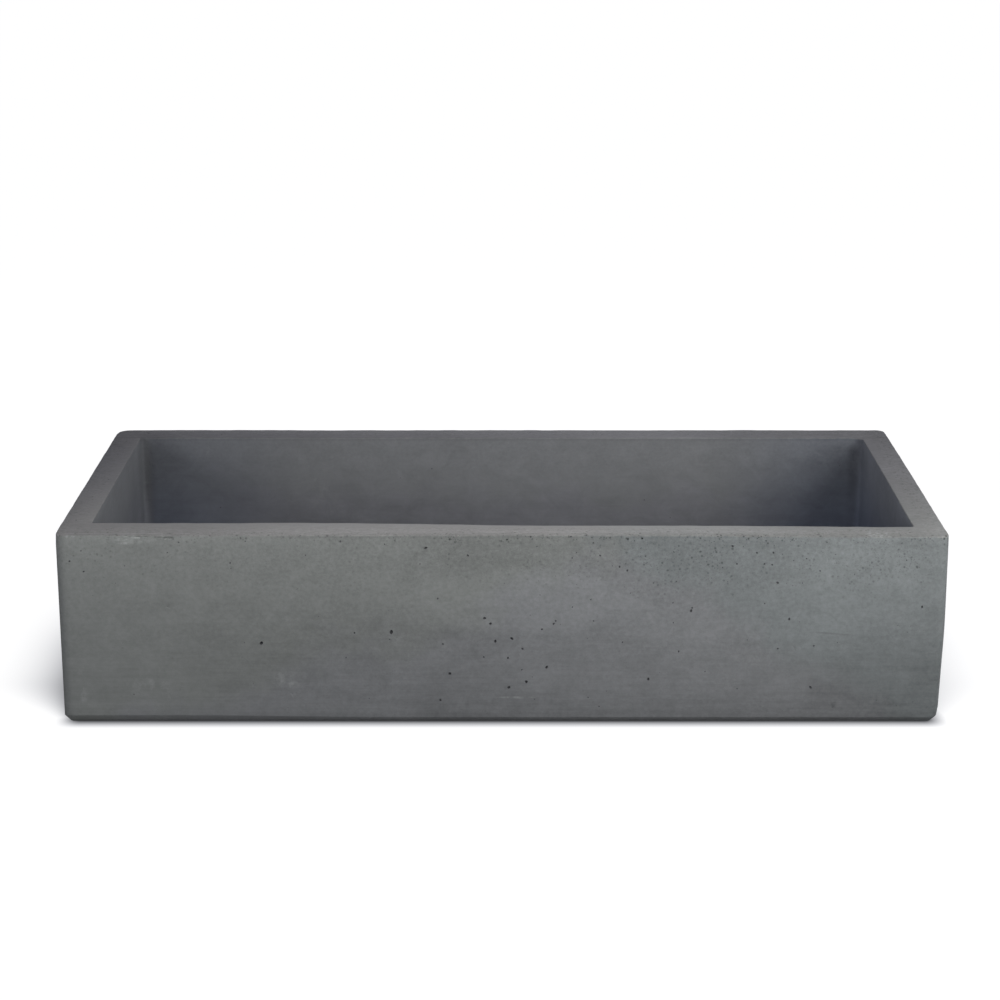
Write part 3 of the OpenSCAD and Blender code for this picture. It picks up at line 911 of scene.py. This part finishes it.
def concrete_tone(f, cloud):
    """The slow changes of colour: olive at the left, violet below, teal at the right, a paler
    rim and a greyer bowl, with painted shade that makes the bowl darker and bluer low down and
    towards its ends. Returns the colour and the shares of the rim and of the bowl."""
    drift = f.noise(13, 3, 0.6, distortion=0.4)
    towards_base = f.x * 0.31 - f.z + (cloud - 0.5) * 0.16 + (drift - 0.5) * 0.1
    colour = f.blend(f.ease(towards_base, -0.16, -0.1), OLIVE, VIOLET)
    towards_top_right = f.x * 0.65 + f.z + (drift - 0.5) * 0.12
    colour = f.blend(f.ease(towards_top_right, 0.24, 0.3), colour, TEAL)
    in_bowl = (1 - f.ease(abs(f.x), 0.428, 0.44)) * (1 - f.ease(abs(f.y), 0.205, 0.22))
    # Painted shade: darker, bluer colour low in the bowl and towards its ends, more at the right
    depth = f.ease(f.z, RIM_H - 0.12, RIM_H, 1, 0.4)
    low = f.ease(abs(f.x) + (cloud - 0.5) * 0.08, 0.22, 0.41) * depth \
        * f.ease(f.x, -0.1, 0.1, 0.75, 1) * f.ease(f.x, -0.418, -0.408, 0.3, 1)
    bowl = f.blend(f.ease(f.z + (drift - 0.5) * 0.1, 0.11, 0.15), BOWL_TONE, BOWL_TOP)
    bowl = f.blend(low, bowl, BOWL_PAINTED_SHADE)
    colour = f.blend(in_bowl, colour, bowl)
    sag = f.ease(f.x, 0.1, RIM_W / 2, 0, RIGHT_FRONT_SAG) * f.ease(-f.y, -0.1, RIM_D / 2)
    uneven = (f.noise(140, 3, 0.7) - 0.5) * 3 * MM
    on_rim = f.ease(f.z + sag + uneven, RIM_H - 2.6 * MM, RIM_H - 0.9 * MM)
    front_rim = f.blend(f.ease(f.x + (drift - 0.5) * 0.2, 0.06, 0.12), RIM_FRONT, RIM_RIGHT)
    rim = f.blend(f.ease(f.y, -0.22, 0.1), front_rim, RIM_REAR)
    return f.blend(on_rim, colour, rim), on_rim, in_bowl


def patches(f, on_rim):
    """Areas of the casting that are lighter or darker than the rest: large ones on the front face,
    along the rim and on the bowl's rear wall, and narrow ones at the bowl's rear corners. Those on
    the front rim, the rear inner arris, the rear wall and the rear corners are painted light and
    shade."""
    x, y, z, ease, between = f.x, f.y, f.z, f.ease, f.between
    on_front = ease(-y, 0.232, 0.2365)
    left = (1 - ease(x, -0.44, -0.2)) * 0.09 + (1 - ease(x, -0.46, -0.36)) * 0.06
    upper_left = ease(z, 0.09, 0.16) * (1 - ease(x, -0.12, 0)) * 0.07
    upper_right = ease(x, 0.29, 0.38) * ease(z, 0.06, 0.12) * 0.08
    upper_right = upper_right + spot(f, 0.36, 0.165, 0.08, 0.05) * 0.09 \
        + spot(f, 0.3, 0.12, 0.08, 0.04) * 0.09
    lower_left = (1 - ease(x, -0.36, -0.26)) * (1 - ease(z, 0.1, 0.14)) * 0.05
    lower_right = ease(x * 0.5 - z, 0.05, 0.19) * 0.22
    top = ease(z, 0.183, 0.197) * ease(x, -0.1, 0.15) * 0.1 + ease(z, 0.189, 0.198) * (
        between(x, -0.15, -0.05, 0.05) * 0.06 + (1 - ease(x, -0.36, -0.3)) * 0.03)
    foot = (1 - ease(z, 0.015, 0.055)) * between(x, -0.1, 0.24, 0.12) * 0.09
    centre = spot(f, 0.01, 0.132, 0.15, 0.042) * 0.17 + spot(f, 0.165, 0.125, 0.09, 0.06) * 0.04
    face = (left + upper_left + lower_left + upper_right + centre - lower_right - top
            - foot) * on_front

    before = ease(-y, 0.17, 0.2)
    behind = ease(y, 0.1, 0.2)
    inward = y + RIM_D / 2
    # Painted light: the front rim is lighter in its middle and at its right end, and towards its
    # inner edge
    front_rim = (between(x, -0.26, 0.27, 0.16) * 0.19 + ease(x, 0.42, 0.45) * 0.1) * before \
        + between(inward, 35 * MM, 60 * MM, 8 * MM) * between(x, -0.03, 0.3, 0.08) * 0.035 \
        + ease(inward, 8 * MM, 28 * MM, -0.03, 0.04) * ease(x, 0.05, 0.15) \
        + ease(inward, 8 * MM, 26 * MM, -0.04, 0.05) * between(x, 0.145, 0.25, 0.04) \
        + between(inward, 12 * MM, 40 * MM, 8 * MM) * between(x, -0.27, -0.04, 0.06) * 0.025
    left_rim = (1 - ease(x, -0.44, -0.36)) * ease(y, -0.1, 0.22) * 0.22
    right_rim = ease(x, 0.42, 0.44) * behind * 0.1
    rear_rim = (between(x, -0.04, 0.28, 0.1) * 0.14 + between(x, 0.1, 0.22, 0.06) * 0.06
                + between(x, -0.16, -0.09, 0.05) * 0.05
                - (1 - ease(x, -0.3, -0.15)) * 0.05) * behind
    # Painted shade: the front rim darkens over its outer 15 mm, which dulls the arris highlight
    front_edge_painted_shade = (1 - ease(inward, 0, 15 * MM)) * ease(x, 0.25, 0.4, 0.19, 0.08)
    # Painted shade: a dark line along the rear rim's inner arris, which dulls its highlight
    rear_arris_painted_shade = between(y, 0.195, 0.202, 0.004) * ease(z, RIM_H - 6 * MM, RIM_H - 3 * MM) * 0.1

    # Painted light and shade on the bowl's rear wall: lighter high up in the middle, darker towards
    # both ends, where the end walls shade it
    rear_wall_painted_light_and_shade = ease(y, 0.15, 0.18) * (
        between(x, -0.2, 0.22, 0.14) * ease(z, 0.11, 0.15) * 0.08
        + between(x, 0.21, 0.3, 0.05) * ease(z, 0.11, 0.14) * 0.06
        - (1 - ease(x, -0.4, -0.35)) * 0.14
        - between(x, 0.36, 0.41, 0.05) * ease(z, 0.1, 0.15) * 0.13)
    # Painted shade down the creases of the bowl's rear inner corners, stronger at the right
    corner_creases_painted_shade = between(abs(x), 0.4085, 0.4195, 0.01) * between(y, 0.165, 0.206, 0.008) \
        * ease(z, 0.185, 0.194, 1, 0) * ease(z, 0.12, 0.15, 0.6, 1) * ease(x, -0.1, 0.1, 0.13, 0.26)
    # Painted light on the rounds of the bowl's rear corners beside the creases: the right end wall's
    # rear part and the left rear round
    right_corner_painted_light = ease(x, 0.4, 0.41) * ease(y, 0.03, 0.15) * ease(y, 0.19, 0.197, 1, 0) \
        * ease(z, 0.135, 0.185, 0.4, 0.2) * between(x, 0.3, 0.436, 0.01)
    left_corner_painted_light = ease(-x, 0.4, 0.41) * ease(y, 0.12, 0.17) * ease(y, 0.194, 0.198, 1, 0) * 0.16 \
        * between(x, -0.436, -0.3, 0.01)
    return (face + rear_wall_painted_light_and_shade - corner_creases_painted_shade + right_corner_painted_light + left_corner_painted_light) * (1 - on_rim) \
        + (front_rim + rear_rim - left_rim - right_rim - front_edge_painted_shade) * on_rim - rear_arris_painted_shade


def arris_lines(f):
    """The front's worn upper edge: a dark line of painted shade just under it, right of its left
    quarter, and a broken pale line on the rim behind it in the left third."""
    inward = f.y + RIM_D / 2
    # Painted shade: a dark line on the face just under the arris, which dulls its highlight
    dark = (1 - f.ease(inward, 1.2 * MM, 3 * MM)) * f.ease(f.z, RIM_H - 5 * MM, RIM_H - 2.6 * MM) \
        * f.ease(f.x, -0.27, -0.2, 0.01, 0.12) * f.ease(f.x, -0.1, 0, 1, 0.67)
    broken = f.ease(f.noise((60, 300, 60), 3, 0.7), 0.4, 0.6, 0.25, 1)
    pale = f.between(inward, 1.5 * MM, 9 * MM, 3 * MM) * (1 - f.ease(f.x, -0.19, -0.1)) \
        * f.ease(f.z, RIM_H - 3 * MM, RIM_H - 1.5 * MM) * broken
    return pale * f.ease(f.x, -0.34, -0.31, 0.3, 0.2) - dark


def sand_specks(f, in_bowl):
    """Dark grains showing through the skin: thick near the top right, thin elsewhere."""
    near_top = f.ease(f.z, RIM_H - 85 * MM, RIM_H - 20 * MM)
    to_right = f.ease(f.x, -0.25, 0.32, 0.25, 1) + f.ease(f.x, -0.44, -0.3, 0.4, 0)
    patchy = f.ease(f.noise(30, 3, 0.6), 0.4, 0.62, 0.25, 1)
    coarse = 1 - f.ease(f.specks(165), 0.1, 0.28)
    fine = 1 - f.ease(f.specks(340), 0.12, 0.32)
    arris = f.ease(f.z, RIM_H - 10 * MM, RIM_H - 4 * MM) * f.ease(-f.y, 0.222, 0.236)
    share = near_top * to_right * patchy * 0.95 + patchy * 0.14 + arris * patchy * 0.9
    return (coarse * 0.75 + fine * 0.5) * share * (1 - in_bowl * 0.85)


def dragged_streaks(f):
    """Level bands left by the mould's side, strongest near the base."""
    near_base = 1 - f.ease(f.z, 20 * MM, 150 * MM, 0, 0.7)
    broad = f.noise((5, 5, 120), 3, 0.6)
    thin = f.noise((22, 22, 420), 2, 0.6)
    return ((broad - 0.5) * 0.24 + (thin - 0.5) * 0.2) * near_base


def concrete_finish():
    """Grey cast concrete, cloudy, with sand grains, level streaks and a few pale smudges."""
    f = Finish("cast_concrete")
    cloud = f.noise(5.5, 3, 0.55)
    mottle = f.noise((31, 31, 44), 4, 0.7, distortion=0.5)
    grain = f.noise((220, 220, 260), 3, 0.65)
    sand = f.noise(760, 2, 0.6)
    colour, on_rim, in_bowl = concrete_tone(f, cloud)
    specks = sand_specks(f, in_bowl)
    crisp = 0.8 + f.ease(f.z, 0.05, 0.11, 0, 0.4) + f.ease(f.z, 0.14, 0.19, 0, 0.5) - in_bowl * 0.95
    trowelled = f.noise((45, 330, 45), 3, 0.65)
    rough = f.ease(f.x, -0.36, -0.12, 0.78, 1)
    level = 1 + ((cloud - 0.5) * 0.26 + (mottle - 0.5) * 0.5) * rough \
        + ((grain - 0.5) * 0.42 + (sand - 0.5) * 0.18) * crisp * rough + dragged_streaks(f) \
        - specks * 0.6 + patches(f, on_rim) + arris_lines(f) + (trowelled - 0.5) * 0.3 * on_rim
    scratch_z = 99 * MM - (f.x - 0.316) * 0.085
    scratch = spot(f, 339 * MM, 97 * MM, 26 * MM, 8 * MM) * (
        1 - f.ease(abs(f.z - scratch_z), 0.2 * MM, 1.6 * MM))
    colour = f.tone(colour, level - scratch * 0.16)

    cloudy = f.ease(f.noise(95, 4, 0.65), 0.42, 0.7)
    broken = f.ease(f.noise(210, 3, 0.7), 0.42, 0.6)
    bloom = f.ease(f.noise(19, 3, 0.6), 0.56, 0.75) * (1 - on_rim)
    dust = spots(f, FRONT_SMUDGES) * cloudy * 0.5 + bloom * cloudy * 0.22 \
        + spots(f, ARRIS_BRUISES) * broken * 0.75
    colour = f.blend(dust, colour, DUST)

    height = grain * 0.5 + sand * 0.3 + mottle * 0.7 - specks * 0.5 - scratch * 0.6
    roughness = 0.76 + (mottle - 0.5) * 0.25 + (grain - 0.5) * 0.15 - on_rim * 0.06
    return f.shade(Base_Color=colour, Roughness=roughness, Normal=f.bump(height, 0.25 * MM, 0.6),
                   Specular_IOR_Level=0.06)


def pore_painted_shade_finish():
    """The inside of a pinhole: rougher paste, coloured dark as painted shade."""
    f = Finish("concrete_pore")
    grain = f.noise(1400, 2, 0.6)
    # Painted shade: the pinhole's inside is coloured far darker than the concrete
    colour = f.tone(f.blend(grain, (0.07, 0.072, 0.074), (0.1, 0.1, 0.1)), 0.8 + grain * 0.4)
    return f.shade(Base_Color=colour, Roughness=0.9 + grain * 0.1,
                   Normal=f.bump(grain, 0.2 * MM, 0.6), Specular_IOR_Level=0.1)


def radius_of(f):
    """Distance from the drain's axis."""
    return (f.x * f.x + f.y * f.y) ** 0.5


def chrome_finish():
    """Polished plating with faint buffing rings, fine hair scratches and a few dried drops."""
    f = Finish("chrome_plate")
    rings = f.node("TexNoise", {"noise_dimensions": "1D"}, W=radius_of(f) * 2600, Scale=1.0,
                   Detail=2.0)
    scratch = f.noise((80, 1120, 80), 3, 0.6)
    drops = 1 - f.ease(f.specks(110), 0.18, 0.3)
    dried = drops * f.ease(f.noise(45, 2, 0.5), 0.55, 0.62)
    colour = f.blend(dried * 0.5, (0.66, 0.67, 0.69), (0.52, 0.53, 0.54))
    roughness = 0.07 + rings * 0.05 + f.ease(scratch, 0.55, 0.75) * 0.06 + dried * 0.16
    normal = f.bump(rings * 0.5 + scratch * 0.3, 0.006 * MM, 0.4)
    return f.shade(Base_Color=colour, Metallic=1.0, Roughness=roughness, Normal=normal)


def turned_metal(name, light, dark, roughness):
    """Machined metal: fine tool marks round the axis, dulled in patches by handling."""
    f = Finish(name)
    marks = f.node("TexNoise", {"noise_dimensions": "2D"}, Vector=f.node(
        "CombineXYZ", {}, radius_of(f) * 2200, f.z * 3200, 0.0), Scale=1.0, Detail=2.0)
    stain = f.noise(90, 4, 0.6)
    colour = f.blend(f.ease(stain, 0.35, 0.7), light, dark)
    colour = f.tone(colour, 0.92 + marks * 0.16)
    rough = roughness + (marks - 0.5) * 0.12 + f.ease(stain, 0.4, 0.7) * 0.12
    return f.shade(Base_Color=colour, Metallic=1.0, Roughness=rough,
                   Normal=f.bump(marks, 0.02 * MM, 0.5))


def rubber_finish():
    """Black moulded rubber, matt, with a dusty bloom in patches."""
    f = Finish("moulded_rubber")
    grain = f.noise(2600, 2, 0.6)
    bloom = f.ease(f.noise(120, 3, 0.6), 0.45, 0.75)
    colour = f.blend(bloom, (0.018, 0.018, 0.019), (0.045, 0.045, 0.047))
    colour = f.tone(colour, 0.85 + grain * 0.3)
    return f.shade(Base_Color=colour, Roughness=0.6 + bloom * 0.2 + (grain - 0.5) * 0.1,
                   Normal=f.bump(grain, 0.03 * MM, 0.5), Specular_IOR_Level=0.4)


def nylon_finish():
    """Natural nylon: off-white, satin, with faint flow lines from the mould."""
    f = Finish("natural_nylon")
    flow = f.noise(60, 3, 0.6, distortion=1.2)
    grain = f.noise(2200, 1, 0.5)
    colour = f.tone(f.blend(f.ease(flow, 0.4, 0.65), (0.76, 0.745, 0.69), (0.7, 0.68, 0.61)),
                    0.97 + grain * 0.06)
    return f.shade(Base_Color=colour, Roughness=0.42 + (flow - 0.5) * 0.2,
                   Normal=f.bump(grain, 0.01 * MM, 0.5), Subsurface_Weight=0.15,
                   Subsurface_Radius=(0.002, 0.002, 0.0015), Subsurface_Scale=1.0)


# ---------------------------------------------------------------- studio

# Softboxes: place, width, height and power in watts, all turned to the trough
SOFTBOXES = {
    "left_softbox": ((-1.3, -1.8, 0.5), 0.4, 0.4, 8.9),
    "right_softbox": ((1.25, -1.6, 0.5), 0.4, 0.4, 6.6),
    "rear_softbox": ((0.0, 2.08, 1.09), 0.8, 0.8, 8.9),
    "near_softbox": ((0.82, -0.55, 0.53), 0.45, 0.34, 2.3),
    "end_softbox": ((1.0, -0.4, 0.9), 0.4, 0.4, 2.15),
    "front_strip": ((-0.02, -0.45, 0.45), 1.1, 0.2, 1.65),
}
AIM = Vector((0, 0, 0.15))
FILL_COLOUR = (0.02, 0.05, 1.0)
FILL_LEVEL = 0.058


def seen_rays(f):
    """1 for rays that show the background: straight from the camera, in metal or through glass."""
    seen = f.node("LightPath", {}, output="Is Camera Ray")
    rays = seen.socket.node.outputs
    for name in ("Is Glossy Ray", "Is Transmission Ray"):
        seen = f.larger(seen, Value(f, rays[name]))
    return seen


def add_studio():
    """A white sweep with a painted soft shadow round the trough over its faint real one, soft lamps
    round the front and a cool fill.
    """
    for name, (place, width, height, power) in SOFTBOXES.items():
        light = bpy.data.lights.new(name, "AREA")
        light.shape = "RECTANGLE"
        light.size = width
        light.size_y = height
        light.energy = power
        softbox = add_object(name, light)
        softbox.location = place
        softbox.rotation_euler = (AIM - Vector(place)).to_track_quat("-Z", "Y").to_euler()
        softbox.visible_camera = False

    bpy.context.scene.world = studio_world()

    bpy.ops.mesh.primitive_plane_add(size=40)
    floor = bpy.context.active_object
    floor.name = "studio_floor"
    floor.data.materials.append(floor_finish())


def studio_world():
    """White where it is seen, and a weak cool light on everything else."""
    f = Finish("studio", bpy.data.worlds.new("studio"))
    fill = f.node("Background", {}, FILL_COLOUR, FILL_LEVEL)
    white = f.node("Background", {}, (1, 1, 1), 1.0)
    f.node("OutputWorld", {}, f.node("MixShader", {}, seen_rays(f), fill, white))
    return f.material


def floor_finish():
    """White to the eye, with a painted soft shadow close round the base over a faint real one; dull
    to the light it returns.
    """
    f = Finish("studio_floor")
    # Painted shadow: the floor's glow dims close round the base, most beside the left end and just
    # in front
    beside = f.larger(abs(f.x) - RIM_W / 2 + 2 * BASE_CHAMFER, 0.0)
    reach = f.ease(-f.y, 0.094, 0.273, 141 * MM, 1 * MM)
    near = f.larger(1 - beside / reach, 0.0)
    painted_shadow_at_ends = near * near * near * f.ease(f.x, -0.1, 0.1, 1.29, 0.46) \
        * f.ease(f.y, 0.017, 0.298, 1, 0) * f.ease(-f.y, 0.216, 0.236, 1, 0)
    along = f.ease(abs(f.x), 0.438, 0.468, 1, 0)
    painted_shadow_at_front = f.ease(abs(f.y), 0.2275, 0.259, 0.99, 0) * along
    glow = f.larger(1 - f.larger(painted_shadow_at_ends, painted_shadow_at_front), 0.0)
    lit = f.node("BsdfDiffuse", {}, Color=(0.12, 0.12, 0.124))
    # The painted shadow is tinted blue
    tint = f.blend(glow, (0.93, 0.945, 1), (1, 1, 1))
    shine = f.node("Emission", {}, Color=f.tone(tint, glow), Strength=1.0)
    bright = f.node("AddShader", {}, lit, shine)
    dull = f.node("BsdfDiffuse", {}, Color=(0.3, 0.3, 0.3))
    f.node("OutputMaterial", {}, f.node("MixShader", {}, seen_rays(f), dull, bright))
    return f.material


# ---------------------------------------------------------------- the part

add_camera()
concrete = concrete_finish()
chrome = chrome_finish()
brass = turned_metal("machined_brass", (0.74, 0.57, 0.3), (0.52, 0.38, 0.19), 0.28)
steel = turned_metal("turned_steel", (0.62, 0.62, 0.63), (0.5, 0.5, 0.51), 0.24)
rubber = rubber_finish()
nylon = nylon_finish()

make_trough(concrete, pore_painted_shade_finish())
make_waste_body(chrome)
make_washers(rubber, nylon)
make_lock_nut(brass)
make_spring(steel)
make_plug(chrome, rubber)

CAD_FINISHES = {"latch_housing": brass, "latch_cap": brass, "stud_nut": brass,
                "latch_rotor": steel, "latch_plunger": steel, "plug_stud": steel}
for node, finish in CAD_FINISHES.items():
    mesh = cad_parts[node].data
    mesh.materials.clear()
    mesh.materials.append(finish)

add_studio()
bpy.context.scene.view_settings.view_transform = "Standard"
